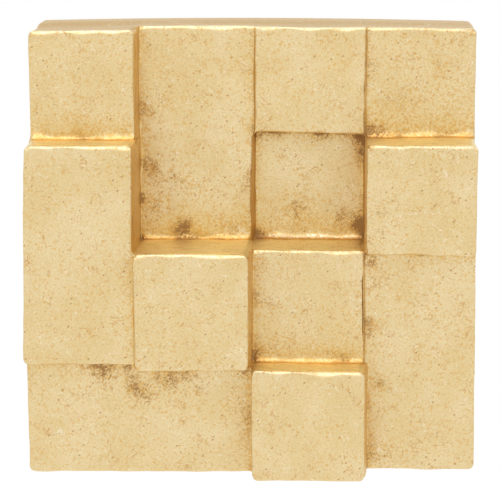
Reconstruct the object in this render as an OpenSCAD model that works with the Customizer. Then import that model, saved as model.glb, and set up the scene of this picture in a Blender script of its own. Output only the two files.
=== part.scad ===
// Gilded block relief wall panel, millimetres.
// +Z is up, -Y faces the room, and y = 0 is the wall. The origin is the middle of the wall rail's back.

/* [Columns and rows] */
// Width of the first column, from the left
col_1 = 73; // [64:0.5:96]
// Width of the second column
col_2 = 78.5; // [64:0.5:96]
// Width of the third column
col_3 = 76.5; // [64:0.5:96]
// Width of the fourth column
col_4 = 76; // [64:0.5:96]
// Height of the first row, from the top
row_1 = 76; // [64:0.5:96]
// Height of the second row
row_2 = 74.5; // [64:0.5:96]
// Height of the third row
row_3 = 77.5; // [64:0.5:96]
// Height of the fourth row
row_4 = 76; // [64:0.5:96]

/* [Blocks] */
// Reach of the top left block, from the panel's back edge to its face
top_left_d = 76; // [50:1:110]
// Reach of the tall block at the top, second column
upper_tall_d = 54; // [44:1:90]
// Reach of the top block in the third column
top_inner_d = 59; // [44:1:90]
// Reach of the top right block
top_right_d = 57; // [44:1:90]
// Reach of the tall block on the left
left_tall_d = 108; // [80:1:130]
// Reach of the deepest set block, second row
recessed_d = 42; // [36:1:60]
// Reach of the right block in the second row
right_upper_d = 98; // [70:1:120]
// Reach of the proud block in the third row
proud_d = 116; // [90:1:135]
// Reach of the block beside it
inner_right_d = 88; // [60:1:120]
// Reach of the long block at the bottom left
bottom_long_d = 97; // [70:1:120]
// Reach of the bottom block in the third column
bottom_inner_d = 117; // [90:1:135]
// Reach of the tall block at the bottom right
right_tall_d = 86; // [60:1:120]

/* [Edges] */
// Radius of the blocks' front edges
arris_r = 2.5; // [1:0.5:4]
// Radius of the gesso cove where a block stands beside a lower one
cove_r = 4; // [2:0.5:6]

/* [Back] */
// Thickness of the lip that hides the backboard
lip_t = 8; // [7:0.5:12]
// Thickness of the backboard
board_t = 9; // [6:0.5:12]
// Play round the backboard in its rebate
board_gap = 0.5; // [0.2:0.1:1]
// Thickness of the wall bumpers
bumper_t = 2.5; // [1.5:0.5:4]
// Radius of the wall bumpers
bumper_r = 3.2; // [2:0.1:3.5]

/* [Hanging] */
// Thickness of the panel cleat, the wall rail and the spacer batten
cleat_t = 12; // [10:0.5:16]
// Length of the panel cleat
cleat_len = 210; // [160:1:230]
// Height of the panel cleat on the board side
cleat_h = 34; // [30:1:38]
// Length of the wall rail
rail_len = 180; // [140:1:200]
// Height of the wall rail on the room side
rail_h = 36; // [30:1:50]
// Height of the rail's screw line above the panel's middle
hang_h = 72; // [60:1:76]
// Distance between the rail's wall screw holes
rail_pitch = 120; // [90:1:130]
// Radius of the rail's wall screw holes
rail_hole_r = 2.5; // [2:0.25:3]
// Height of the spacer batten
batten_h = 20; // [16:1:26]

/* [Fixings] */
// Radius of the wood screws' shanks
screw_r = 1.75; // [1.5:0.25:2.25]
// Radius of the wood screws' heads
head_r = 3.5; // [3:0.25:4]
// Screw length into the blocks
bite = 14; // [8:1:15]
// Distance from a square's middle to its screws, across and up
screw_off = 18; // [12:1:22]
// Distance from the column lines to the cleat's screws
line_off = 12; // [10:1:14]
// Radius of the dowels
dowel_r = 3; // [2:0.5:4]
// Dowel length into the blocks
dowel_in = 10; // [6:1:12]
// Clearance round screws and dowels
fit_gap = 0.1; // [0.05:0.05:0.2]

/* [Hidden] */
$fn = 48;
cols = [col_1, col_2, col_3, col_4];
rows = [row_1, row_2, row_3, row_4];
last = len(cols) - 1;
function sum_to(list, k) = k == 0 ? 0 : list[k - 1] + sum_to(list, k - 1);
wide = sum_to(cols, last + 1);
high = sum_to(rows, last + 1);
mid_z = -hang_h;                                // the panel's middle
col_x = [for (k = [0:last + 1]) sum_to(cols, k) - wide / 2];           // lines between columns
row_z = [for (k = [0:last + 1]) mid_z + high / 2 - sum_to(rows, k)];   // lines between rows
back_y = -bumper_t;                       // back edge of the blocks
board_y = back_y - cleat_t;               // back of the backboard
seat_y = board_y - board_t;               // rebate floor, where the blocks meet the backboard
board_w = wide - 2 * (lip_t + board_gap);
board_h = high - 2 * (lip_t + board_gap);
hook_z = rail_h / 2;                      // the rail's top edge, on its room side
cleat_bottom = hook_z - (board_y + cleat_t);   // the cleat's lower edge, on the board side
cleat_top = cleat_bottom + cleat_h;
cleat_screw_z = (cleat_bottom + cleat_top) / 2;
batten_z = mid_z - board_h / 2 + batten_h / 2 + board_gap;
head_h = head_r - screw_r;
eps = 0.01;

// name, first column, first row from the top, columns, rows, reach
BLOCKS = [
    ["top_left", 0, 0, 1, 1, top_left_d],
    ["upper_tall", 1, 0, 1, 2, upper_tall_d],
    ["top_inner", 2, 0, 1, 1, top_inner_d],
    ["top_right", 3, 0, 1, 1, top_right_d],
    ["left_tall", 0, 1, 1, 2, left_tall_d],
    ["recessed", 2, 1, 1, 1, recessed_d],
    ["right_upper", 3, 1, 1, 1, right_upper_d],
    ["proud", 1, 2, 1, 1, proud_d],
    ["inner_right", 2, 2, 1, 1, inner_right_d],
    ["bottom_long", 0, 3, 2, 1, bottom_long_d],
    ["bottom_inner", 2, 3, 1, 1, bottom_inner_d],
    ["right_tall", 3, 2, 1, 2, right_tall_d],
];

// A block's edges in the panel: left, right, bottom, top
function left(b) = col_x[b[1]];
function right(b) = col_x[b[1] + b[3]];
function top(b) = row_z[b[2]];
function bottom(b) = row_z[b[2] + b[4]];
function reach(b) = b[5];
function holds(b, p, m) =
    p[0] > left(b) - m && p[0] < right(b) + m && p[1] > bottom(b) - m && p[1] < top(b) + m;

// Middles of the grid's squares, and the places of the screws
cells = [for (c = [0:last], r = [0:last]) [col_x[c] + cols[c] / 2, row_z[r + 1] + rows[r] / 2]];
block_screw_at = [for (p = cells, s = [-1, 1]) p + s * [screw_off, -screw_off]];
cleat_screw_at = [
    for (x = [col_x[1] - line_off, col_x[2] - line_off, col_x[2] + line_off, col_x[3] + line_off])
        [x, cleat_screw_z]
];
batten_screw_at = [for (c = [1, 2]) [col_x[c] + cols[c] / 2, batten_z]];

// A countersunk wood screw along -Y from y = 0, its head flush there; grow is the clearance round it
module wood_screw(length, grow = 0) {
    rotate([90, 0, 0]) {
        cylinder(r = screw_r + grow, h = length + grow);
        translate([0, 0, -grow]) cylinder(r1 = head_r + grow, r2 = screw_r + grow, h = head_h + grow);
    }
}

// A screw row: heads at head_y, with points that stop in the blocks
module screws_at(spots, head_y, grow = 0) {
    for (p = spots) translate([p[0], head_y, p[1]]) wood_screw(head_y - seat_y + bite, grow);
}

module dowels_at(spots, grow = 0) {
    for (p = spots) translate([p[0], board_y, p[1]]) rotate([90, 0, 0])
        cylinder(r = dowel_r + grow, h = board_t + dowel_in + grow);
}

// Outline of a block across one way: flat back on v = 0, rounded front corners at v = -d
module front_outline(w, d) {
    translate([0, arris_r - d]) square([w, d - arris_r]);
    translate([arris_r, -d]) square([w - 2 * arris_r, d]);
    for (u = [arris_r, w - arris_r]) translate([u, arris_r - d]) circle(arris_r);
}

// A gilded wood block: rounded front edges, with a lip behind where it is on the panel's outside
module block(b) {
    w = right(b) - left(b);
    h = top(b) - bottom(b);
    rebate = [wide - 2 * lip_t, back_y - seat_y + eps, high - 2 * lip_t];
    color("goldenrod") difference() {
        intersection() {
            translate([left(b), back_y, bottom(b)]) linear_extrude(h) front_outline(w, reach(b));
            translate([right(b), back_y, bottom(b)]) rotate([0, -90, 0])
                linear_extrude(w) front_outline(h, reach(b));
        }
        translate([-rebate[0] / 2, seat_y, mid_z - rebate[2] / 2]) cube(rebate);
        screws_at([for (p = block_screw_at) if (holds(b, p, screw_r)) p], board_y, fit_gap);
        screws_at([for (p = cleat_screw_at) if (holds(b, p, screw_r)) p], back_y, fit_gap);
        screws_at([for (p = batten_screw_at) if (holds(b, p, screw_r)) p], back_y, fit_gap);
        dowels_at([for (p = cells) if (holds(b, p, -dowel_r)) p], fit_gap);
    }
}

module block_top_left() { block(BLOCKS[0]); }
module block_upper_tall() { block(BLOCKS[1]); }
module block_top_inner() { block(BLOCKS[2]); }
module block_top_right() { block(BLOCKS[3]); }
module block_left_tall() { block(BLOCKS[4]); }
module block_recessed() { block(BLOCKS[5]); }
module block_right_upper() { block(BLOCKS[6]); }
module block_proud() { block(BLOCKS[7]); }
module block_inner_right() { block(BLOCKS[8]); }
module block_bottom_long() { block(BLOCKS[9]); }
module block_bottom_inner() { block(BLOCKS[10]); }
module block_right_tall() { block(BLOCKS[11]); }

// A cove strip along +X in the corner of a floor (y = 0, facing -Y) and a wall (z = 0, above it)
module cove_strip(length) {
    difference() {
        translate([0, -cove_r, 0]) cube([length, cove_r, cove_r]);
        translate([-eps, -cove_r, cove_r]) rotate([0, 90, 0]) cylinder(r = cove_r, h = length + 2 * eps);
    }
}

// Gesso coves on each block's face, along the parts of its edges where a prouder block stands
module gesso_coves() {
    color("darkgoldenrod") for (a = BLOCKS, b = BLOCKS) if (reach(b) - reach(a) > cove_r) {
        y = back_y - reach(a);
        x0 = max(left(a), left(b));
        x1 = min(right(a), right(b));
        z0 = max(bottom(a), bottom(b));
        z1 = min(top(a), top(b));
        if (x1 - x0 > eps && abs(bottom(a) - top(b)) < eps)
            translate([x0, y, z0]) cove_strip(x1 - x0);
        if (x1 - x0 > eps && abs(top(a) - bottom(b)) < eps)
            translate([x0, y, z0]) mirror([0, 0, 1]) cove_strip(x1 - x0);
        if (z1 - z0 > eps && abs(left(a) - right(b)) < eps)
            translate([x0, y, z1]) rotate([0, 90, 0]) cove_strip(z1 - z0);
        if (z1 - z0 > eps && abs(right(a) - left(b)) < eps)
            translate([x0, y, z0]) rotate([0, -90, 0]) cove_strip(z1 - z0);
    }
}

// Plywood board let into the rebate behind the blocks
module backboard() {
    color("burlywood") difference() {
        translate([-board_w / 2, seat_y, mid_z - board_h / 2]) cube([board_w, board_t, board_h]);
        screws_at(block_screw_at, board_y, fit_gap);
        screws_at(cleat_screw_at, back_y, fit_gap);
        screws_at(batten_screw_at, back_y, fit_gap);
        dowels_at(cells, fit_gap);
    }
}

module block_dowels() { color("wheat") dowels_at(cells); }
module block_screws() { color("silver") screws_at(block_screw_at, board_y); }
module cleat_screws() { color("silver") screws_at(cleat_screw_at, back_y); }
module batten_screws() { color("silver") screws_at(batten_screw_at, back_y); }

// A strip along X with the outline (v, z) in its cross section
module strip(length, outline) {
    translate([-length / 2, 0, 0]) rotate([90, 0, 90]) linear_extrude(length) polygon(outline);
}

// Upper half of the hanging cleat, bevelled underneath and screwed to the backboard
module panel_cleat() {
    color("tan") difference() {
        strip(cleat_len, [
            [board_y, cleat_bottom], [board_y, cleat_top],
            [back_y, cleat_top], [back_y, cleat_bottom - cleat_t]
        ]);
        screws_at(cleat_screw_at, back_y, fit_gap);
    }
}

// Strip of the cleat's thickness that keeps the panel's foot parallel to the wall
module spacer_batten() {
    color("tan") difference() {
        translate([-cleat_len / 2, board_y, batten_z - batten_h / 2]) cube([cleat_len, cleat_t, batten_h]);
        screws_at(batten_screw_at, back_y, fit_gap);
    }
}

// Rubber discs on the lip's corners
module wall_bumpers() {
    x = (wide - lip_t) / 2;
    z = (high - lip_t) / 2;
    color("dimgray") for (i = [-1, 1], k = [-1, 1])
        translate([i * x, 0, mid_z + k * z]) rotate([90, 0, 0]) cylinder(r = bumper_r, h = bumper_t);
}

// Lower half of the hanging cleat, screwed to the wall and bevelled on top
module wall_rail() {
    sink_r = 2 * rail_hole_r;
    color("tan") difference() {
        strip(rail_len, [
            [0, -rail_h / 2], [0, hook_z - cleat_t],
            [-cleat_t, hook_z], [-cleat_t, -rail_h / 2]
        ]);
        for (x = [-rail_pitch / 2, rail_pitch / 2]) translate([x, 0, 0]) rotate([90, 0, 0]) {
            translate([0, 0, -eps]) cylinder(r = rail_hole_r, h = cleat_t + 2 * eps);
            translate([0, 0, cleat_t - rail_hole_r])
                cylinder(r1 = rail_hole_r, r2 = sink_r + eps, h = rail_hole_r + eps);
        }
    }
}

block_top_left();
block_upper_tall();
block_top_inner();
block_top_right();
block_left_tall();
block_recessed();
block_right_upper();
block_proud();
block_inner_right();
block_bottom_long();
block_bottom_inner();
block_right_tall();
gesso_coves();
backboard();
block_dowels();
block_screws();
panel_cleat();
cleat_screws();
spacer_batten();
batten_screws();
wall_bumpers();
wall_rail();
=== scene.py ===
import math

import bmesh
import bpy
import numpy as np
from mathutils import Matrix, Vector


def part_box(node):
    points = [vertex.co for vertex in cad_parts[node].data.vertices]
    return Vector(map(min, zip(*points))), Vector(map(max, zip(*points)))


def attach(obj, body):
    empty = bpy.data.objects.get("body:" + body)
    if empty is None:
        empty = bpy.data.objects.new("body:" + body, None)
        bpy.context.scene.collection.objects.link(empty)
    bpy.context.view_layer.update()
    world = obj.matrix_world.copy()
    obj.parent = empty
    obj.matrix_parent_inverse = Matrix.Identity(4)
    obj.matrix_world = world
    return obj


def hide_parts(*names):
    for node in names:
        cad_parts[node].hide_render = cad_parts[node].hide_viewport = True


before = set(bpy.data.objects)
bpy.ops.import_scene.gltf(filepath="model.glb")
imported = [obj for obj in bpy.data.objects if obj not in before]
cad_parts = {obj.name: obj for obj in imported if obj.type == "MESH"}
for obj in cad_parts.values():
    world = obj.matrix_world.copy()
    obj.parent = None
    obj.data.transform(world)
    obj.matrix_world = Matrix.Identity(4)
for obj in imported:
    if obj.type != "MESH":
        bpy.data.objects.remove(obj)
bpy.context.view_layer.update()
mm = 0.001
hair = 0.01 * mm    # what is nearer than this counts as touching
print("stage: frame loaded")


# places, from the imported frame
def blockPlaces():
    # every block by name: its edges, and how far its face stands from the wall
    places = {}
    for name in sorted(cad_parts):
        if name.startswith("block_") and name not in ("block_dowels", "block_screws"):
            low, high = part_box(name)
            places[name] = {"x0": low.x, "x1": high.x, "z0": low.z, "z1": high.z, "face": -low.y}
    return places


blocks = blockPlaces()
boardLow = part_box("backboard")[0]
columnLines = sorted({round(b[side], 5) for b in blocks.values() for side in ("x0", "x1")})
rowLines = sorted({round(b[side], 5) for b in blocks.values() for side in ("z0", "z1")}, reverse=True)
panel = {
    "x0": columnLines[0], "x1": columnLines[-1], "z0": rowLines[-1], "z1": rowLines[0],
    "back": -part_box("block_top_left")[1].y,
    "seat": -boardLow.y,
    "boardGap": 0.5 * mm,
}
panel["lip"] = round(boardLow.x - panel["x0"] - panel["boardGap"], 5)
middleX = (panel["x0"] + panel["x1"]) / 2
middleZ = (panel["z0"] + panel["z1"]) / 2


def smooth(value, start, end):
    t = np.clip((value - start) / (end - start), 0, 1)
    return t * t * (3 - 2 * t)


def ripples(seed, wavelength, count=16):
    # a smooth field of about -1.5 to 1.5 over points in metres
    rng = np.random.default_rng(seed)
    ways = rng.normal(size=(count, 3))
    ways /= np.linalg.norm(ways, axis=1)[:, None]
    ways *= (2 * math.pi / wavelength * rng.uniform(0.6, 1.5, count))[:, None]
    phases = rng.uniform(0, 2 * math.pi, count)
    return lambda p: np.sin(p @ ways.T + phases).sum(axis=1) * math.sqrt(2 / count)


# the hand-made unevenness that all gilded pieces share
hand = {
    "sway": 0.25 * mm,       # slow wander of the block lines
    "swayLength": 0.10,
    "quiver": 0.07 * mm,     # short wander of edges and side walls
    "quiverLength": 0.028,
    "crown": 1.3 * mm,       # rise of the top's back edge in the middle; it falls half as much at the ends
    "turn": 3.0 * mm,        # half the length over which a line turns to its next stretch
    "driftStart": 24 * mm,   # the lines are true this near the wall
    "driftFull": 38 * mm,    # and drift fully from here on
    "dish": 0.30 * mm,       # slow unevenness of the faces
    "dishLength": 0.045,
    "dimple": 0.06 * mm,     # short unevenness of the faces
    "dimpleLength": 0.011,
}
# millimetres that each line between columns drifts to the right, at the top and foot of each row
columnDrift = [
    [(0, 0), (-0.5, -1.5), (-1.5, -3), (-2, -1.5)],
    [(-1, -1.5), (-1, -1.5), (0, 0), (0, 0)],
    [(2, 1), (-0.5, -1), (-1, -1), (1.5, 1.5)],
    [(0.5, 0.5), (1, 1), (0, 0.5), (1, 1)],
    [(0, 0), (-0.5, -0.5), (0, 0.5), (0.5, 1)],
]
# millimetres that each line between rows drifts up, at the left and right of each column
rowDrift = [
    [(-2.5, -1.5), (-1, 0), (0, -0.5), (-0.5, -1.5)],
    [(-0.5, -0.5), (0, 0), (3.5, 2), (-0.5, -0.5)],
    [(0, 0), (2, 2), (0.5, 0.5), (-1, -1)],
    [(2, 2.5), (-0.5, 0), (0.5, 0.5), (0, 0)],
    [(-0.5, 0), (0, 1), (0, 0), (0.5, 0.5)],
]
swayX = ripples(11, hand["swayLength"])
swayZ = ripples(12, hand["swayLength"])
quiverX = ripples(13, hand["quiverLength"])
quiverZ = ripples(14, hand["quiverLength"])


def drifted(across, along, acrossLines, alongLines, drifts):
    # the drift at each point, between the drifts of the two lines beside it
    place = np.interp(across, acrossLines, range(len(acrossLines)))
    first = np.clip(place.astype(int), 0, len(acrossLines) - 2)
    share = place - first
    everyPoint = np.arange(len(across))
    total = np.zeros_like(across)
    bands = len(alongLines) - 1
    for k in range(bands):
        t = np.clip((along - alongLines[k]) / (alongLines[k + 1] - alongLines[k]), 0, 1)
        values = np.array([line[k][0] + (line[k][1] - line[k][0]) * t for line in drifts])
        value = values[first, everyPoint] * (1 - share) + values[first + 1, everyPoint] * share
        begun = 1 if k == 0 else smooth(along, alongLines[k] - hand["turn"], alongLines[k] + hand["turn"])
        ended = 0 if k == bands - 1 else smooth(along, alongLines[k + 1] - hand["turn"],
                                                alongLines[k + 1] + hand["turn"])
        total += value * (begun - ended)
    return total * mm


def handMade(points):
    # moves points (x, y, z) as one skin of gesso would have been shaped, the same for every piece
    x, z = points[:, 0], points[:, 2]
    down = [-line for line in rowLines]
    full = smooth(-points[:, 1], hand["driftStart"], hand["driftFull"])
    shiftX = drifted(x, -z, columnLines, down, columnDrift)
    shiftZ = drifted(-z, x, down, columnLines, rowDrift)
    onTop = np.clip((z - panel["z1"] + panel["lip"]) / panel["lip"], 0, 1)
    crown = hand["crown"] * (1 - 1.5 * ((x - middleX) / (panel["x1"] - middleX)) ** 2)
    moved = points.copy()
    moved[:, 2] += (1 - full) * onTop * crown
    moved[:, 0] += full * (shiftX + hand["sway"] * swayX(points) + hand["quiver"] * quiverX(points))
    moved[:, 2] += full * (shiftZ + hand["sway"] * swayZ(points) + hand["quiver"] * quiverZ(points))
    return moved


# block shapes
shape = {
    "arris": {"x0": 1.8 * mm, "x1": 1.8 * mm, "z0": 1.8 * mm, "z1": 2.6 * mm},  # rounding of the front edges
    "corner": 4.0 * mm,      # rounding of the corners, seen from the front
    "cornerFade": 3.0 * mm,  # which begins over this depth in front of the neighbours
    "cove": {"x0": 1.3 * mm, "x1": 1.5 * mm, "z0": 4.6 * mm, "z1": 1.6 * mm},  # rounding of the inner corners
    "leastCove": 0.2 * mm,
    "uneven": 0.28,          # how much those roundings vary along an edge
    "unevenLength": 0.018,
    "draft": {"x0": 0.1 * mm, "x1": 1.7 * mm, "z0": 0.2 * mm, "z1": 0.4 * mm},  # how far the walls spread
    "draftLength": 5 * mm,   # over about this depth below the front edge
    "draftEnd": 9 * mm,      # and back to true within this depth behind a neighbour's face
    "face": 2.0 * mm,        # spacing of mesh lines over the faces
    "inset": 10 * mm,        # which starts this far in from the edges
    "wall": 4.0 * mm,        # spacing of mesh lines down the side walls
    "sunk": 0.3 * mm,        # how deep a hidden surface lies in the piece that covers it
    "joint": 0.9 * mm,       # width of the dark line in an inner corner
    "crevice": {"x0": 4 * mm, "x1": 4 * mm, "z0": 14 * mm, "z1": 3 * mm},  # width of the warm stretch there, painted bounce light
    "deepStep": 8 * mm,      # the painted warm bounce light is full beside a step this deep
    "smoothAngle": 38,       # degrees; sharper edges than this stay sharp
}
edgeSteps = np.array([0, 0.1, 0.3, 0.65, 1.05, 1.5, 2.1, 2.9, 4.1, 5.8]) * mm
sides = {"x0": -1, "x1": 1, "z0": -1, "z1": 1}    # and which way each of them faces
opposite = {"x0": "x1", "x1": "x0", "z0": "z1", "z1": "z0"}
edgeWobble = ripples(21, shape["unevenLength"])
dish = ripples(22, hand["dishLength"])
dimple = ripples(23, hand["dimpleLength"])


def stations(start, end):
    # mesh lines between two edges: close together at both, with a pair at the rebate's wall
    near = np.concatenate([edgeSteps, [panel["lip"] - hair, panel["lip"] + hair]])
    inset = shape["inset"]
    count = round((end - start - 2 * inset) / shape["face"]) + 1
    middle = np.linspace(start + inset, end - inset, count)
    return np.concatenate([start + near, middle, (end - near)[::-1]])


def proudBeside(name, side, t):
    # how proud the neighbour stands at each coordinate t along a side; outside the panel it is nothing
    b = blocks[name]
    a0, a1 = ("x0", "x1") if side[0] == "z" else ("z0", "z1")
    near = 0.1 * mm
    proud = np.zeros_like(t)
    for o in blocks.values():
        if abs(o[opposite[side]] - b[side]) < near:
            proud = np.where((t > o[a0] - near) & (t <= o[a1]), o["face"], proud)
    return proud


def inwards(name, side, x, z):
    # distance in from a side, and the coordinate along it
    across, along = (x, z) if side[0] == "x" else (z, x)
    return sides[side] * (blocks[name][side] - across), along


def onSide(name, side, x, z):
    # which points lie on a side, and how proud the neighbour beside each point stands
    s, t = inwards(name, side, x, z)
    return s < hair, proudBeside(name, side, t)


def draftAt(side, depth):
    return shape["draft"][side] * (1 - np.exp(-np.clip(depth, 0, 1) / shape["draftLength"]))


def faceShape(name, x, z):
    # the drop of the rounded edges, the rise of the coves, the nearness to inner corners, and the burnish
    # that carries a painted highlight
    face = blocks[name]["face"]
    drop, cove, crevice, joint, polishAndHighlight = (np.zeros_like(x) for _ in range(5))
    coveSize = np.full_like(x, max(shape["cove"].values()))
    for k, side in enumerate(sides):
        s, t = inwards(name, side, x, z)
        step = proudBeside(name, side, t) - face
        along = np.stack([t, np.full_like(t, k), np.full_like(t, face)], axis=1)
        uneven = 1 + shape["uneven"] * edgeWobble(along)
        radius = shape["arris"][side] * uneven
        fall = radius - np.sqrt(np.maximum(radius ** 2 - np.clip(radius - s, 0, radius) ** 2, 0))
        drop = np.where(step <= 0, np.maximum(drop, fall), drop)
        clear = np.maximum(s - draftAt(opposite[side], step), 0)
        size = np.minimum(shape["cove"][side] * uneven, np.maximum(step * 0.9, shape["leastCove"]))
        near = np.where(step > 0, np.clip(1 - clear / size, 0, 1), 0)
        coveSize = np.where(near > 0, np.minimum(coveSize, size), coveSize)
        cove = np.sqrt(cove ** 2 + near ** 2)
        deep = smooth(step, 0, shape["deepStep"])
        shade = deep * np.exp(-clear / shape["crevice"][side])
        crevice = np.maximum(crevice, np.where(step > 0, shade, 0))
        joint = np.maximum(joint, np.where(step > 0, np.exp(-(clear / shape["joint"]) ** 2), 0))
        if side == "z0":    # the cove along the foot of a face is burnished in the middle and gets a painted highlight there
            coveHighlight = deep * smooth(near, 0.4, 0.6) * (1 - smooth(near, 0.8, 0.95))
            polishAndHighlight = np.where(step > 0, coveHighlight, polishAndHighlight)
        if side == "z1":    # and a rounded top edge is too, a little, with a weaker painted highlight
            polishAndHighlight = np.where(step <= 0, 0.4 * smooth(fall, 0, 0.2 * radius), polishAndHighlight)
    rise = coveSize * (1 - np.sqrt(1 - np.clip(cove, 0, 1) ** 2))
    return drop, rise, crevice, joint, polishAndHighlight


# old varnish and dirt: how much lies along each side, all over, and in spots
# a spot is (share across, share up, radius in mm, strength)
patina = {
    "block_top_left": {"over": 0.05, "z0": 0.2, "x0": 0.1, "spots": [(0.5, 0.04, 8, 0.3)]},
    "block_upper_tall": {
        "over": 0.07, "x0": 0.42, "x1": 0.35, "z0": 0.50,
        "spots": [(0.08, 0.05, 12, 0.4), (0.07, 0.18, 9, 0.5), (0.43, 0.06, 8, 0.6), (0.32, 0.27, 12, 0.5),
                  (0.10, 0.34, 7, 0.3), (0.08, 0.65, 12, 0.4), (0.85, 0.05, 8, 0.3)]},
    "block_top_inner": {
        "over": 0.05, "x0": 0.15, "z0": 0.1,
        "spots": [(0.15, 0.10, 12, 0.2), (1.0, 0.0, 3, 1.2)]},
    "block_top_right": {
        "over": 0.17, "x0": 0.4, "z0": 0.3,
        "spots": [(0.02, 0.03, 7, 1.5), (0.3, 0.3, 18, 0.15), (0.6, 0.75, 20, 0.12)]},
    "block_left_tall": {
        "over": 0.02,
        "spots": [(0.92, 0.46, 10, 0.25), (0.45, 0.5, 12, 0.12), (0.9, 0.9, 8, 0.2)]},
    "block_recessed": {
        "over": 0.04, "x0": 0.25, "x1": 0.7, "z0": 0.1, "z1": 1.4,
        "spots": [(0.05, 0.95, 9, 1.0), (1.0, 1.0, 4, 6.0), (1.0, 0.10, 6, 9.0), (0.99, 0.25, 6, 0.6),
                  (0.38, 0.24, 11, 0.5), (0.5, 0.65, 10, 0.15), (0.08, 0.04, 6, 1.0)]},
    "block_right_upper": {
        "over": 0.06, "x0": 0.1,
        "spots": [(0.0, 1.0, 4, 1.5), (0.12, 0.35, 12, 0.2), (0.06, 0.05, 10, 0.25)]},
    "block_proud": {
        "over": 0.02,
        "spots": [(0.12, 0.04, 12, 0.22), (0.45, 0.03, 10, 0.15), (0.02, 0.75, 8, 0.25)]},
    "block_inner_right": {
        "over": 0.04, "x0": 0.60, "x1": 0.2, "z0": 0.20, "z1": 0.1,
        "spots": [(0.06, 0.55, 10, 0.2), (0.03, 0.10, 8, 0.6), (0.85, 0.03, 6, 0.4)]},
    "block_bottom_long": {
        "over": 0.05, "x1": 0.5, "z1": 0.5,
        "spots": [(0.48, 0.93, 18, 0.45), (0.62, 0.85, 15, 0.55), (0.36, 0.92, 14, 0.4),
                  (0.71, 0.77, 10, 0.5), (0.98, 0.6, 10, 0.3), (0.46, 0.72, 10, 0.3)]},
    "block_bottom_inner": {"over": 0.02, "spots": [(0.02, 0.85, 8, 0.3), (0.5, 0.03, 10, 0.1)]},
    "block_right_tall": {
        "over": 0.07, "x0": 0.55, "z1": 0.45,
        "spots": [(0.05, 0.90, 10, 0.5), (0.06, 0.66, 8, 0.4), (0.55, 0.62, 12, 0.22),
                  (0.85, 0.6, 10, 0.15), (0.04, 0.35, 10, 0.4), (0.1, 0.08, 12, 0.2)]},
}
varnish = {
    "reach": 4.5 * mm,       # how far in from a side it lies
    "reachLength": 0.035,    # and over what length that changes
    "wobbleLength": 0.022,
    "most": 2.6,
    "wall": 0.02,            # stain all over the side walls
    "wallCorner": 0.35,      # and near their inner corners
    "outerWall": 0.08,       # and this much more on the panel's outer sides
    "outerWobble": 0.12,
    "backEdge": 0.5,         # and at their edge next to the wall,
    "backReach": 6 * mm,     # over this depth
    "outerShade": {"x0": 0.45, "x1": 0.45, "z0": 0.45, "z1": 1},  # how strongly each outer side gets the painted shade
}
patinaWobble = ripples(31, varnish["wobbleLength"])
patinaReach = ripples(32, varnish["reachLength"])


def stainAt(name, x, z):
    # how much stain lies at each point of a face
    b, marks = blocks[name], patina[name]
    at = np.stack([x, np.full_like(x, b["face"]), z], axis=1)
    wobble = 1 + 0.5 * patinaWobble(at)
    reach = varnish["reach"] * np.exp(0.6 * patinaReach(at))
    stain = np.full_like(x, marks["over"])
    for side in sides:
        if side in marks:
            s, _ = inwards(name, side, x, z)
            stain += marks[side] * np.exp(-s / reach) * np.clip(wobble, 0.2, 1.6)
    for across, up, radius, strength in marks["spots"]:
        awayX = x - b["x0"] - across * (b["x1"] - b["x0"])
        awayZ = z - b["z0"] - up * (b["z1"] - b["z0"])
        fade = np.exp(-(np.hypot(awayX, awayZ) / (radius * mm)) ** 2)
        stain += strength * fade * np.clip(wobble, 0.3, 1.5)
    return np.clip(stain, 0, varnish["most"])


def roundCorners(name, x, z, proud):
    # draws points in at the corners between two outer sides, in front of the neighbours' faces only
    b = blocks[name]
    x, z = x.copy(), z.copy()
    r = shape["corner"]
    inside = 0.5 * mm    # neighbours are looked for this far in from the corner
    for sx in ("x0", "x1"):
        for sz in ("z0", "z1"):
            besideX = proudBeside(name, sx, np.array([b[sz] - sides[sz] * inside]))[0]
            besideZ = proudBeside(name, sz, np.array([b[sx] - sides[sx] * inside]))[0]
            start = max(besideX, besideZ)
            if start > b["face"]:
                continue
            clear = start + max(shape["cove"].values())
            weight = smooth(proud, clear, clear + shape["cornerFade"]) if start > 0 else 1
            a, _ = inwards(name, sx, x, z)
            c, _ = inwards(name, sz, x, z)
            dx, dz = np.clip(r - a, 0, r), np.clip(r - c, 0, r)
            length = np.maximum(np.hypot(dx, dz), 1e-9)
            pull = np.where((dx > 0) & (dz > 0), 1 - np.maximum(dx, dz) / length, 0) * weight
            x -= sides[sx] * dx * pull
            z -= sides[sz] * dz * pull
    return x, z


def spreadOut(name, x, z, proud):
    # the draft of the side walls: how far out points of the block's outline stand, for how proud they are
    # behind a neighbour's face it ends, and there the outer sides are drawn in, to lie inside the neighbour
    face = blocks[name]["face"]
    end = shape["draftEnd"]
    below = face - max(shape["arris"].values()) - proud
    out = {"x": np.zeros_like(proud), "z": np.zeros_like(proud)}
    hidden = np.zeros_like(proud)
    for side, sign in sides.items():
        on, beside = onSide(name, side, x, z)
        inner = on & (beside > 0) & (beside < face)
        fade = smooth(proud, beside - end, beside - end / 2)
        out[side[0]] += sign * inner * draftAt(side, below) * fade
        hidden = np.where(inner & (proud < beside), shape["sunk"], hidden)
    for side, sign in sides.items():
        on, beside = onSide(name, side, x, z)
        out[side[0]] -= sign * hidden * (on & (beside == 0))
    return out["x"], out["z"]


def unevenFace(name, x, z):
    # the slow and short unevenness of a face, as an extra rise
    at = np.stack([x, z, np.full_like(x, blocks[name]["face"] * 9)], axis=1)
    return hand["dish"] * dish(at) + hand["dimple"] * dimple(at)


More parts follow.
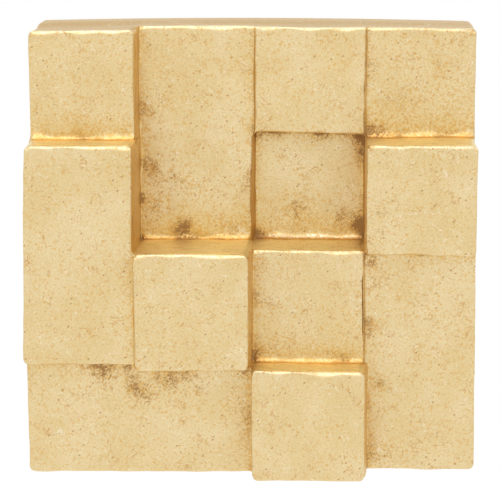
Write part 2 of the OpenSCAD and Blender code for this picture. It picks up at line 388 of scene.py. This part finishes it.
def makeMesh(name, points, faces, fields=None):
    mesh = bpy.data.meshes.new(name)
    mesh.from_pydata(points.tolist(), [], [list(map(int, f)) for f in faces])
    for fieldName, values in (fields or {}).items():
        attribute = mesh.attributes.new(fieldName, "FLOAT", "POINT")
        attribute.data.foreach_set("value", values.astype(np.float32))
    mesh.validate()
    mesh.shade_smooth()
    mesh.set_sharp_from_angle(angle=math.radians(shape["smoothAngle"]))
    piece = bpy.data.objects.new(name, mesh)
    bpy.context.scene.collection.objects.link(piece)
    return piece


def quads(index, flip=False):
    # faces over a grid of point numbers
    corners = [index[:-1, :-1], index[1:, :-1], index[1:, 1:], index[:-1, 1:]]
    faces = np.stack(corners, axis=-1).reshape(-1, 4)
    return faces[:, ::-1] if flip else faces


def faceGrid(name):
    # the mesh lines of a block's face, and its points one by one
    b = blocks[name]
    xs, zs = stations(b["x0"], b["x1"]), stations(b["z0"], b["z1"])
    gx, gz = (g.ravel() for g in np.meshgrid(xs, zs, indexing="ij"))
    return np.arange(len(gx)).reshape(len(xs), len(zs)), gx, gz


def wallFields(name, x, z, proud):
    # what the leaf needs to know about points of the side walls
    crevice, joint, outer, flank = (np.zeros_like(x) for _ in range(4))
    for side in sides:
        on, beside = onSide(name, side, x, z)
        inner = on & (beside > 0) & (beside < blocks[name]["face"])
        above = np.clip(proud - beside, 0, 1)
        shade = np.exp(-above / shape["crevice"][side])
        line = np.exp(-(above / (2 * shape["joint"])) ** 2)
        crevice = np.where(inner, np.maximum(crevice, shade), crevice)
        joint = np.where(inner, np.maximum(joint, line), joint)
        # the panel's outer sides, for their painted shade
        outer = np.where(on & (beside == 0), varnish["outerShade"][side], outer)
        # the sideways-facing inner walls, which get painted shade
        if side[0] == "x":
            flank = np.where(inner, 1, flank)
    handled = varnish["outerWobble"] * patinaWobble(np.stack([x, proud, z], axis=1))
    edgeDirt = varnish["backEdge"] * np.exp(-(proud - panel["back"]) / varnish["backReach"])
    stain = varnish["wall"] + varnish["wallCorner"] * crevice
    stain += (outer > 0) * np.clip(varnish["outerWall"] + handled + edgeDirt, 0, 1)
    return {"crevice": crevice, "joint": joint, "stain": stain, "outer": outer, "flank": flank, "wall": 1}


def blockMesh(node, name):
    # a closed block: its face, its side walls, and its back with the rebate
    b = blocks[node]
    grid, gx, gz = faceGrid(node)
    drop, _, crevice, joint, polishAndHighlight = faceShape(node, gx, gz)
    proud = b["face"] - drop
    fx, fz = roundCorners(node, gx, gz, np.full_like(gx, b["face"]))
    front = handMade(np.stack([fx, -proud, fz], axis=1))
    front[:, 1] -= unevenFace(node, gx, gz)

    lip = panel["lip"]
    inLip = (gx < panel["x0"] + lip) | (gx > panel["x1"] - lip)
    inLip |= (gz < panel["z0"] + lip) | (gz > panel["z1"] - lip)
    depth = np.where(inLip, panel["back"], panel["seat"])
    ring = np.concatenate([grid[:-1, 0], grid[-1, :-1], grid[:0:-1, -1], grid[0, :0:-1]])
    bx, bz = roundCorners(node, gx, gz, depth)
    outX, outZ = spreadOut(node, gx[ring], gz[ring], depth[ring])
    bx[ring] += outX
    bz[ring] += outZ
    back = handMade(np.stack([bx, -depth, bz], axis=1))

    rows = max(5, round((b["face"] - panel["back"]) / shape["wall"]))
    share = (np.arange(1, rows) / rows) ** 1.3    # closer together towards the face
    wallProud = (proud[ring][None, :] + share[:, None] * (depth[ring] - proud[ring])[None, :]).ravel()
    wallX, wallZ = np.tile(gx[ring], rows - 1), np.tile(gz[ring], rows - 1)
    wx, wz = roundCorners(node, wallX, wallZ, wallProud)
    outX, outZ = spreadOut(node, wallX, wallZ, wallProud)
    wall = handMade(np.stack([wx + outX, -wallProud, wz + outZ], axis=1))

    n = len(gx)
    wallRows = 2 * n + np.arange(len(wall)).reshape(rows - 1, -1)
    around = np.concatenate([ring[None, :], wallRows, n + ring[None, :]])
    around = np.concatenate([around, around[:, :1]], axis=1)
    faces = np.concatenate([quads(grid), quads(grid + n, flip=True), quads(around)])

    bare = np.ones(n)
    bare[ring] = 0
    # the faces' rounded edges fade into the walls' painted reflected colour
    parts = [
        (n, {"crevice": crevice, "joint": joint, "polishAndHighlight": polishAndHighlight, "stain": stainAt(node, gx, gz),
             "wall": smooth(drop, 1.2 * mm, 1.8 * mm)}),
        (n, {"outer": 1, "bare": bare}),
        (len(wall), wallFields(node, wallX, wallZ, wallProud)),
    ]
    fields = {}
    for fieldName in ("crevice", "joint", "stain", "outer", "wall", "flank", "polishAndHighlight", "bare"):
        values = [np.broadcast_to(part.get(fieldName, 0.0), count) for count, part in parts]
        fields[fieldName] = np.concatenate(values)
    return makeMesh(name, np.concatenate([front, back, wall]), faces, fields)


def rimOf(cells):
    # the outer edges of a patch of cells: two cells that meet cancel the edge between them
    edges = {}
    for cell in cells:
        for i in range(4):
            edge = (cell[i], cell[(i + 1) % 4])
            if edge[::-1] in edges:
                del edges[edge[::-1]]
            else:
                edges[edge] = True
    return list(edges)


def covesMesh(name):
    # closed strips of gesso in the inner corners of every block's face
    points, faces = [], []
    fields = {"crevice": [], "joint": [], "stain": [], "polishAndHighlight": []}
    total = 0
    for block, b in blocks.items():
        grid, gx, gz = faceGrid(block)
        drop, rise, crevice, joint, polishAndHighlight = faceShape(block, gx, gz)
        cells = quads(grid)
        kept = cells[(rise[cells] > hair).any(axis=1)]
        if not len(kept):
            continue
        used = np.unique(kept)
        number = np.full(len(gx), -1)
        number[used] = np.arange(len(used))
        ux, uz = gx[used], gz[used]
        for side, sign in sides.items():    # the strips' ends reach a little into the higher neighbours
            on, beside = onSide(block, side, ux, uz)
            into = sign * shape["sunk"] * (on & (beside > b["face"]))
            ux, uz = (ux + into, uz) if side[0] == "x" else (ux, uz + into)
        base = b["face"] - drop[used]
        lift = unevenFace(block, gx[used], gz[used])
        top = handMade(np.stack([ux, -(base + rise[used] + 0.02 * mm), uz], axis=1))
        under = handMade(np.stack([ux, -(base - shape["sunk"]), uz], axis=1))
        top[:, 1] -= lift
        under[:, 1] -= lift
        m = len(used)
        tops = number[kept]
        rim = np.array([[a + m, c + m, c, a] for a, c in rimOf(tops)])
        faces.append(np.concatenate([tops, (tops + m)[:, ::-1], rim]) + total)
        points += [top, under]
        stain = stainAt(block, gx[used], gz[used])
        found = {"crevice": crevice[used], "joint": joint[used], "stain": stain, "polishAndHighlight": polishAndHighlight[used]}
        for fieldName, values in found.items():
            fields[fieldName] += [values, values]
        total += 2 * m
    fields = {fieldName: np.concatenate(values) for fieldName, values in fields.items()}
    for fieldName in ("outer", "wall", "flank", "bare"):
        fields[fieldName] = np.zeros(total)
    return makeMesh(name, np.concatenate(points), np.concatenate(faces), fields)


# small helpers for materials
def addNode(tree, kind, inputs=None, **settings):
    made = tree.nodes.new("ShaderNode" + kind)
    for name, value in settings.items():
        setattr(made, name, value)
    for name, value in (inputs or {}).items():
        if isinstance(value, bpy.types.NodeSocket):
            tree.links.new(value, made.inputs[name])
        else:
            made.inputs[name].default_value = value
    return made


def maths(tree, operation, a, b=0.0):
    return addNode(tree, "Math", {0: a, 1: b}, operation=operation).outputs[0]


def times(tree, a, b):
    return maths(tree, "MULTIPLY", a, b)


def plus(tree, a, b):
    return maths(tree, "ADD", a, b)


def minus(tree, a, b):
    return maths(tree, "SUBTRACT", a, b)


def between(tree, value, low, high, bottom=0.0, top=1.0):
    inputs = {"Value": value, "From Min": low, "From Max": high, "To Min": bottom, "To Max": top}
    return addNode(tree, "MapRange", inputs, interpolation_type="SMOOTHSTEP").outputs[0]


def mixed(tree, amount, first, second, blend="MIX"):
    inputs = {0: amount, 6: first, 7: second}
    return addNode(tree, "Mix", inputs, data_type="RGBA", blend_type=blend).outputs[2]


def cloud(tree, place, scale, detail=2.0, roughness=0.5, distortion=0.0):
    inputs = {"Vector": place, "Scale": scale, "Detail": detail, "Roughness": roughness,
              "Distortion": distortion}
    return addNode(tree, "TexNoise", inputs).outputs[0]


def thinLine(tree, wavy):
    # a line along the middle of a wavy field
    offLine = maths(tree, "ABSOLUTE", minus(tree, wavy, 0.5))
    return between(tree, offLine, 0.003, 0.014, 1, 0)


def field(tree, name):
    return addNode(tree, "Attribute", attribute_name=name).outputs["Fac"]


def coords(tree, turn=(0, 0, 0), stretch=(1, 1, 1), move=(0, 0, 0)):
    # coordinates that are moved, turned and then stretched, so that streaks follow the turn
    here = addNode(tree, "TexCoord").outputs["Object"]
    inputs = {"Vector": here, "Location": move, "Rotation": turn, "Scale": stretch}
    return addNode(tree, "Mapping", inputs, vector_type="TEXTURE").outputs[0]


def newMaterial(name):
    material = bpy.data.materials.new(name)
    material.use_nodes = True
    return material, material.node_tree, material.node_tree.nodes["Principled BSDF"]


leaf = {
    "pale": (0.813, 0.656, 0.377, 1),    # fresh leaf
    "warm": (0.772, 0.598, 0.307, 1),    # where it's thinner
    "deep": (0.800, 0.595, 0.260, 1),    # painted warm bounce light beside inner corners
    "wall": (0.870, 0.735, 0.395, 1),    # painted reflected light: brighter gold on side walls, ledges and rounded edges
    "outer": (0.592, 0.415, 0.172, 1),   # painted shade on the panel's outer sides
    "bright": (0.940, 0.850, 0.640, 1),  # painted glints and painted highlights on coves and top edges, and pale scuffs
    "thick": (1.030, 1.060, 1.140, 1),   # tint of the grain where the leaf is thick
    "thin": (0.940, 0.900, 0.800, 1),    # and where it's thin
    "bole": (0.720, 0.400, 0.085, 1),    # rubbed through to the coloured ground
    "glaze": (0.600, 0.370, 0.130, 1),   # thin old varnish
    "dirt": (0.330, 0.165, 0.050, 1),    # dirt in it
    "crease": (0.600, 0.330, 0.105, 1),  # creases of the leaf
    "pit": (0.470, 0.240, 0.080, 1),     # and pinholes
    "seam": (0.560, 0.300, 0.060, 1),    # the line in an inner corner
    "wood": (0.550, 0.400, 0.240, 1),    # bare wood behind
    "roughness": 0.42,
    "grainSize": 0.6 * mm,
    "speckleSize": 1.6 * mm,
    "speckSize": 1.1 * mm,
    "creaseSize": 9.0 * mm,
    "pitSize": 4.2 * mm,
    "runSize": 2.2 * mm,
    "scuffSize": 7.0 * mm,
    "mottleSize": 34 * mm,
}


def leafMaterial():
    material, tree, shader = newMaterial("goldLeaf")
    here = coords(tree)
    strokes = coords(tree, turn=(0, 0.8, 0), stretch=(1, 1, 1.7))
    elsewhere = coords(tree, move=(0.31, 0.17, 0.53))
    curls = coords(tree, turn=(0, 0.5, 0), stretch=(1.6, 1, 1), move=(0.7, 0.2, 0.4))
    grain = cloud(tree, strokes, 1 / leaf["grainSize"], 3, 0.6)
    speckle = cloud(tree, strokes, 1 / leaf["speckleSize"], 6, 0.80)
    specks = cloud(tree, elsewhere, 1 / leaf["speckSize"], 4, 0.7)
    patches = cloud(tree, elsewhere, 1 / (4 * leaf["speckleSize"]), 3, 0.6)
    mottle = cloud(tree, here, 1 / leaf["mottleSize"], 4, 0.6)
    stain, crevice, joint, wall, outer, flank, bare = (
        field(tree, name) for name in ("stain", "crevice", "joint", "wall", "outer", "flank", "bare"))
    # the burnish, with its painted highlight, broken up in patches
    polishAndHighlight = times(tree, field(tree, "polishAndHighlight"), between(tree, patches, 0.30, 0.58, 0.15, 1.0))

    # creases in short stretches, and scuffs: thin pale curls, drawn in the same way
    line = thinLine(tree, cloud(tree, here, 1 / leaf["creaseSize"], 3, 0.55, 0.6))
    shown = between(tree, cloud(tree, elsewhere, 1 / (1.4 * leaf["creaseSize"]), 3), 0.48, 0.60)
    crease = times(tree, line, shown)
    curl = thinLine(tree, cloud(tree, curls, 1 / leaf["scuffSize"], 2, 0.5, 0.8))
    scuff = times(tree, curl, between(tree, patches, 0.45, 0.55))

    # pits: a few of the dots in a random scatter
    dots = addNode(tree, "TexVoronoi", {"Vector": strokes, "Scale": 1 / leaf["pitSize"]})
    lot = addNode(tree, "SeparateColor", {0: dots.outputs["Color"]}).outputs[0]
    few = maths(tree, "GREATER_THAN", lot, 0.50)
    pit = times(tree, between(tree, dots.outputs["Distance"], 0.08, 0.16, 1, 0), few)

    # varnish and dirt: speckles that close up where the stain is heavy
    load = plus(tree, times(tree, stain, 0.115), times(tree, minus(tree, patches, 0.5), 0.32))
    thickness = plus(tree, load, times(tree, plus(tree, speckle, specks), 0.5))
    glaze = times(tree, between(tree, thickness, 0.54, 0.60), between(tree, stain, 0.0, 0.7, 0.12, 0.65))
    dirt = times(tree, between(tree, thickness, 0.605, 0.65), between(tree, stain, 0.0, 1.2, 0.20, 0.85))
    seam = times(tree, joint, between(tree, patches, 0.25, 0.6, 0.35, 0.9))

    # where the leaf is rubbed through, and the painted glints
    rub = cloud(tree, elsewhere, 1 / leaf["speckleSize"], 4, 0.65)
    rub = plus(tree, rub, times(tree, plus(tree, crevice, stain), 0.10))
    rubbed = between(tree, rub, 0.575, 0.63)
    # painted glints: pale flecks, gathered where the highlight is painted
    glintNoise = cloud(tree, elsewhere, 1.3 / leaf["speckleSize"], 4, 0.7)
    paintedGlint = between(tree, plus(tree, glintNoise, times(tree, polishAndHighlight, 0.22)), 0.60, 0.72)

    # thin dark lines along the inner walls: down the ones facing sideways, across the others
    ledge = minus(tree, minus(tree, wall, flank), outer)
    down = cloud(tree, coords(tree, stretch=(1, 0.7, 5)), 1 / leaf["runSize"], 4, 0.6)
    along = cloud(tree, coords(tree, stretch=(5, 1, 0.7)), 1 / leaf["runSize"], 4, 0.6)
    downLines = times(tree, between(tree, down, 0.54, 0.64), times(tree, flank, 0.38))
    acrossLines = times(tree, between(tree, along, 0.54, 0.62), times(tree, ledge, 0.30))
    drips = maths(tree, "MAXIMUM", downLines, acrossLines)

    colour = mixed(tree, between(tree, mottle, 0.35, 0.65), leaf["pale"], leaf["warm"])
    # painted bounce light: warmer gold near inner corners, less under the painted highlight
    paintedBounce = times(tree, crevice, minus(tree, 0.65, polishAndHighlight))
    colour = mixed(tree, paintedBounce, colour, leaf["deep"])
    # painted reflected light on side walls, ledges and the faces' rounded edges
    colour = mixed(tree, wall, colour, leaf["wall"])
    # painted shade on the panel's outer sides, strongest on the top
    colour = mixed(tree, outer, colour, leaf["outer"])
    weave = between(tree, plus(tree, grain, times(tree, speckle, 0.6)), 0.60, 1.0)
    colour = mixed(tree, 1.0, colour, mixed(tree, weave, leaf["thin"], leaf["thick"]), "MULTIPLY")
    # what lies on the leaf or shows through it, from the lowest layer up, and how strongly: first painted
    # shade on the sideways walls, a painted highlight and painted glints, then scuffs, wear, creases, pits
    # and the seam
    layers = [(flank, 0.65, "bole"), (polishAndHighlight, 0.85, "bright"), (paintedGlint, 0.8, "bright"),
              (scuff, 0.5, "bright"), (rubbed, 0.65, "bole"), (crease, 0.75, "crease"),
              (pit, 0.80, "pit"), (seam, 0.75, "seam")]
    for where, strength, paint in layers:
        colour = mixed(tree, times(tree, where, strength), colour, leaf[paint])
    for where, paint in ((drips, "dirt"), (glaze, "glaze"), (dirt, "dirt")):
        colour = mixed(tree, where, colour, leaf[paint])
    colour = mixed(tree, bare, colour, mixed(tree, mottle, leaf["wood"], leaf["crease"]))

    dull = maths(tree, "MAXIMUM", times(tree, dirt, 0.7), bare)
    metal = minus(tree, 1.0, dull)
    smoothest, roughest = leaf["roughness"] - 0.06, leaf["roughness"] + 0.08
    rough = between(tree, speckle, 0.3, 0.7, smoothest, roughest)
    rough = plus(tree, rough, times(tree, dull, 0.3))
    rough = minus(tree, rough, times(tree, polishAndHighlight, 0.12))
    height = plus(tree, times(tree, grain, 0.5), speckle)
    height = minus(tree, height, times(tree, crease, 0.5))
    relief = between(tree, polishAndHighlight, 0, 1, 0.35, 0.9)
    bump = addNode(tree, "Bump", {"Strength": relief, "Distance": 0.35 * mm, "Height": height})
    for socket, value in (("Base Color", colour), ("Metallic", metal), ("Roughness", rough),
                          ("Normal", bump.outputs[0])):
        tree.links.new(value, shader.inputs[socket])
    return material


# wood, steel and rubber behind the panel
woods = {
    "pine": {"light": (0.62, 0.44, 0.25, 1), "dark": (0.44, 0.27, 0.12, 1),
             "grain": (20, 1, 1), "size": 3.2 * mm},
    "birch": {"light": (0.60, 0.45, 0.28, 1), "dark": (0.48, 0.33, 0.18, 1),
              "grain": (1, 1, 16), "size": 2.4 * mm, "ply": 2.6 * mm},
    "beech": {"light": (0.56, 0.37, 0.21, 1), "dark": (0.38, 0.22, 0.11, 1),
              "grain": (1, 20, 1), "size": 0.8 * mm},
}
zinc = {"grey": (0.62, 0.60, 0.55, 1), "yellow": (0.70, 0.62, 0.42, 1), "spangles": 700}
rubber = {"black": (0.030, 0.030, 0.032, 1), "dusty": (0.085, 0.082, 0.078, 1), "dust": 900}


def woodMaterial(name, wood):
    # long streaks of two browns, with darker layers through the thickness if it's plywood
    material, tree, shader = newMaterial(name)
    streaks = cloud(tree, coords(tree, stretch=wood["grain"]), 1 / wood["size"], 6, 0.62, 0.5)
    fibres = cloud(tree, coords(tree, stretch=wood["grain"]), 6 / wood["size"], 3, 0.6)
    colour = mixed(tree, between(tree, streaks, 0.36, 0.64), wood["light"], wood["dark"])
    colour = mixed(tree, between(tree, fibres, 0.5, 0.75, 0, 0.35), colour, wood["dark"])
    if "ply" in wood:
        across = addNode(tree, "SeparateXYZ", {0: coords(tree)}).outputs[1]
        layer = maths(tree, "SINE", times(tree, across, 2 * math.pi / wood["ply"]))
        colour = mixed(tree, between(tree, layer, 0.0, 0.3, 0, 0.3), colour, wood["dark"])
    tree.links.new(colour, shader.inputs["Base Color"])
    tree.links.new(between(tree, fibres, 0.3, 0.7, 0.52, 0.70), shader.inputs["Roughness"])
    bump = addNode(tree, "Bump", {"Strength": 0.4, "Distance": 0.15 * mm, "Height": fibres})
    tree.links.new(bump.outputs[0], shader.inputs["Normal"])
    return material


def zincMaterial():
    material, tree, shader = newMaterial("zincPlate")
    spangle = cloud(tree, coords(tree), zinc["spangles"], 3, 0.6)
    colour = mixed(tree, between(tree, spangle, 0.35, 0.65), zinc["grey"], zinc["yellow"])
    tree.links.new(colour, shader.inputs["Base Color"])
    shader.inputs["Metallic"].default_value = 1.0
    tree.links.new(between(tree, spangle, 0.3, 0.7, 0.26, 0.42), shader.inputs["Roughness"])
    return material


def rubberMaterial():
    material, tree, shader = newMaterial("rubber")
    dust = cloud(tree, coords(tree), rubber["dust"], 4, 0.65)
    colour = mixed(tree, between(tree, dust, 0.45, 0.75), rubber["black"], rubber["dusty"])
    tree.links.new(colour, shader.inputs["Base Color"])
    tree.links.new(between(tree, dust, 0.3, 0.7, 0.62, 0.85), shader.inputs["Roughness"])
    bump = addNode(tree, "Bump", {"Strength": 0.3, "Distance": 0.05 * mm, "Height": dust})
    tree.links.new(bump.outputs[0], shader.inputs["Normal"])
    return material


pieceNames = {
    "block_top_left": "topLeftBlock",
    "block_upper_tall": "upperTallBlock",
    "block_top_inner": "topInnerBlock",
    "block_top_right": "topRightBlock",
    "block_left_tall": "leftTallBlock",
    "block_recessed": "recessedBlock",
    "block_right_upper": "rightUpperBlock",
    "block_proud": "proudBlock",
    "block_inner_right": "innerRightBlock",
    "block_bottom_long": "bottomLongBlock",
    "block_bottom_inner": "bottomInnerBlock",
    "block_right_tall": "rightTallBlock",
}


def placePiece(piece, node, body, material):
    piece.data.materials.clear()
    piece.data.materials.append(material)
    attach(piece, body)
    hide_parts(node)


goldLeaf = leafMaterial()
for node, pieceName in pieceNames.items():
    placePiece(blockMesh(node, pieceName), node, "panel", goldLeaf)
placePiece(covesMesh("gessoCoves"), "gesso_coves", "panel", goldLeaf)
print("stage: blocks and coves shaped")


# turned pieces behind the panel
def roundPlaces(node, apart=9 * mm):
    # the places of a node's separate round pieces: x, back y, z and length
    groups = []
    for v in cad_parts[node].data.vertices:
        for group in groups:
            if math.hypot(v.co.x - group[0].x, v.co.z - group[0].z) < apart:
                group.append(v.co.copy())
                break
        else:
            groups.append([v.co.copy()])
    found = []
    for group in groups:
        low = [min(p[k] for p in group) for k in range(3)]
        high = [max(p[k] for p in group) for k in range(3)]
        found.append(((low[0] + high[0]) / 2, high[1], (low[2] + high[2]) / 2, high[1] - low[1]))
    return sorted(found)


def turned(name, node, profile, around, dent=None):
    # one mesh with a turned piece at each of a node's places
    # profile gives rings as radius and depth from the back, and dent lowers points of the back
    points, faces = [], []
    angles = np.arange(around) * 2 * math.pi / around
    for x, y, z, length in roundPlaces(node):
        rings = profile(length)
        start = len(points)
        points.append((x, y - (dent(0, 0) if dent else 0), z))
        for radius, depth in rings:
            for a in angles:
                u, w = radius * math.cos(a), radius * math.sin(a)
                sunk = dent(u, w) if dent and depth < 0.05 * mm else 0
                points.append((x + u, y - depth - sunk, z + w))
        points.append((x, y - rings[-1][1] - rings[-1][0] * 0.3, z))
        first = start + 1
        for j in range(around):
            faces.append((start, first + (j + 1) % around, first + j))
        for k in range(len(rings) - 1):
            a0, b0 = first + k * around, first + (k + 1) * around
            for j in range(around):
                j2 = (j + 1) % around
                faces.append((a0 + j, a0 + j2, b0 + j2, b0 + j))
        lastRing = first + (len(rings) - 1) * around
        for j in range(around):
            faces.append((lastRing + j, lastRing + (j + 1) % around, len(points) - 1))
    return makeMesh(name, np.array(points), faces)


screw = {
    "head": 3.5 * mm,        # radii
    "shank": 1.75 * mm,
    "core": 1.35 * mm,
    "pitch": 1.6 * mm,
    "recess": 2.0 * mm,      # half the length of the recess's arms
    "arm": 0.55 * mm,        # and half their width
    "recessDepth": 1.5 * mm,
    "headRings": 14,         # the head is finely divided, for the recess
}
dowel = {"radius": 3.0 * mm, "chamfer": 0.5 * mm}
bumper = {"radius": 3.2 * mm, "dome": 0.72, "foot": 0.96}    # heights are shares of its thickness


def screwProfile(length):
    # a flat head with fine rings for its recess, its cone, and a ridged shank down to the point
    rings = [(screw["head"] * k / screw["headRings"], 0.0) for k in range(1, screw["headRings"])]
    rings += [(screw["head"] - 0.12 * mm, 0.02 * mm), (screw["head"], 0.14 * mm)]
    neck = screw["head"] - screw["shank"]
    rings.append((screw["shank"], neck + 0.1 * mm))
    depth = neck + 0.8 * screw["pitch"]
    while depth < length - 2.2 * screw["pitch"]:
        rings += [(screw["core"], depth), (screw["shank"], depth + 0.35 * screw["pitch"]),
                  (screw["core"], depth + 0.6 * screw["pitch"])]
        depth += screw["pitch"]
    rings += [(screw["core"], depth), (0.2 * mm, length - 0.1 * mm)]
    return rings


def crossRecess(u, w):
    # the depth of the cross recess at a place on the head
    arm = min(abs(u), abs(w))
    reach = max(abs(u), abs(w))
    inArm = float(smooth(np.array(arm), screw["arm"] + 0.15 * mm, screw["arm"] - 0.1 * mm))
    inReach = float(smooth(np.array(reach), screw["recess"], screw["recess"] * 0.35))
    return screw["recessDepth"] * inArm * inReach


def dowelProfile(length):
    # chamfered ends
    r, chamfer = dowel["radius"], dowel["chamfer"]
    return [(r - chamfer, 0.0), (r, chamfer), (r, length - chamfer), (r - chamfer, length)]


def bumperProfile(length):
    # a low dome that faces the wall, on a short straight foot
    r = bumper["radius"]
    angles = np.linspace(0.15, math.pi / 2, 8)
    dome = [(r * math.sin(a), length * bumper["dome"] * (1 - math.cos(a))) for a in angles]
    return dome + [(r, length * bumper["foot"]), (r - 0.1 * mm, length)]


zincPlate = zincMaterial()
for node, name in (("block_screws", "blockScrews"), ("cleat_screws", "cleatScrews"),
                   ("batten_screws", "battenScrews")):
    screws = turned(name, node, screwProfile, 32, crossRecess)
    placePiece(screws, node, "panel", zincPlate)
dowels = turned("blockDowels", "block_dowels", dowelProfile, 28)
placePiece(dowels, "block_dowels", "panel", woodMaterial("beechDowel", woods["beech"]))
bumpers = turned("wallBumpers", "wall_bumpers", bumperProfile, 32)
placePiece(bumpers, "wall_bumpers", "panel", rubberMaterial())
print("stage: screws, dowels and bumpers turned")


# planed pieces behind the panel, with their edges eased
easing = {
    "pine": 0.8 * mm,
    "board": 0.3 * mm,
    "shortest": 12 * mm,     # edges shorter than this stay as they are, such as those of holes
    "sharpest": 30,          # degrees; flatter edges stay as they are too
    "smoothAngle": 32,
}


def eased(node, name, width):
    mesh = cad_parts[node].data.copy()
    mesh.name = name
    shaped = bmesh.new()
    shaped.from_mesh(mesh)
    bmesh.ops.remove_doubles(shaped, verts=shaped.verts, dist=0.001 * mm)
    bmesh.ops.dissolve_limit(shaped, angle_limit=math.radians(1), verts=shaped.verts, edges=shaped.edges)
    sharp = [e for e in shaped.edges
             if len(e.link_faces) == 2 and e.calc_face_angle() > math.radians(easing["sharpest"])
             and e.calc_length() > easing["shortest"]]
    bmesh.ops.bevel(shaped, geom=sharp, offset=width, segments=2, profile=0.6, affect="EDGES",
                    clamp_overlap=True)
    shaped.to_mesh(mesh)
    shaped.free()
    mesh.shade_smooth()
    mesh.set_sharp_from_angle(angle=math.radians(easing["smoothAngle"]))
    piece = bpy.data.objects.new(name, mesh)
    bpy.context.scene.collection.objects.link(piece)
    return piece


pine = woodMaterial("planedPine", woods["pine"])
for node, name, body in (("panel_cleat", "panelCleat", "panel"), ("spacer_batten", "spacerBatten", "panel"),
                         ("wall_rail", "wallRail", "rail")):
    placePiece(eased(node, name, easing["pine"]), node, body, pine)
board = eased("backboard", "backBoard", easing["board"])
placePiece(board, "backboard", "panel", woodMaterial("birchPly", woods["birch"]))
print("stage: cleat, rail, batten and backboard eased")


# camera, light and floor
studio = {
    "eye": (0.0456, -1.590, 0.2695),     # from the panel's middle
    "aim": (-0.0023, -0.060, -0.0031),
    "lens": 161.4,
    "sensor": 36,
    "farthest": 100,
    "world": 1.02,
    "floorDrop": 0.75,       # from the panel's foot
    "floorReach": 30,
    "floor": 0.98,
    # lights: place from the panel's middle, width, height and power
    "topLight": ((-0.2, -0.25, 1.5), 0.7, 0.5, 3.5),
    "coveLight": ((-0.1, -1.1, 1.15), 0.7, 0.25, 2.5),
}


def aimAt(thing, place, target):
    thing.location = place
    thing.rotation_euler = (Vector(target) - Vector(place)).to_track_quat("-Z", "Y").to_euler()


def softbox(name, place, target, width, height, power):
    light = bpy.data.lights.new(name, "AREA")
    light.shape = "RECTANGLE"
    light.size = width
    light.size_y = height
    light.energy = power
    lamp = bpy.data.objects.new(name, light)
    bpy.context.scene.collection.objects.link(lamp)
    aimAt(lamp, place, target)


def makeStudio():
    scene = bpy.context.scene
    centre = Vector((middleX, 0, middleZ))
    camera = bpy.data.objects.new("camera", bpy.data.cameras.new("camera"))
    scene.collection.objects.link(camera)
    camera.data.lens = studio["lens"]
    camera.data.sensor_width = studio["sensor"]
    camera.data.clip_end = studio["farthest"]
    aimAt(camera, centre + Vector(studio["eye"]), centre + Vector(studio["aim"]))
    scene.camera = camera

    reach, level = studio["floorReach"], panel["z0"] - studio["floorDrop"]
    floorMesh = bpy.data.meshes.new("floor")
    floorMesh.from_pydata([(-reach, -reach, level), (reach, -reach, level), (reach, reach, level),
                           (-reach, reach, level)], [], [(0, 1, 2, 3)])
    floor = bpy.data.objects.new("floor", floorMesh)
    scene.collection.objects.link(floor)
    paint, _, paintShader = newMaterial("floorPaint")
    paintShader.inputs["Base Color"].default_value = (*[studio["floor"]] * 3, 1)
    paintShader.inputs["Roughness"].default_value = 0.9
    floorMesh.materials.append(paint)

    world = bpy.data.worlds.new("studio")
    scene.world = world
    world.use_nodes = True
    sky = world.node_tree.nodes["Background"]
    sky.inputs["Color"].default_value = (1, 1, 1, 1)
    sky.inputs["Strength"].default_value = studio["world"]
    for name in ("topLight", "coveLight"):
        place, width, height, power = studio[name]
        softbox(name, centre + Vector(place), centre, width, height, power)
    scene.view_settings.view_transform = "Standard"


makeStudio()
print("stage: camera and lights set")
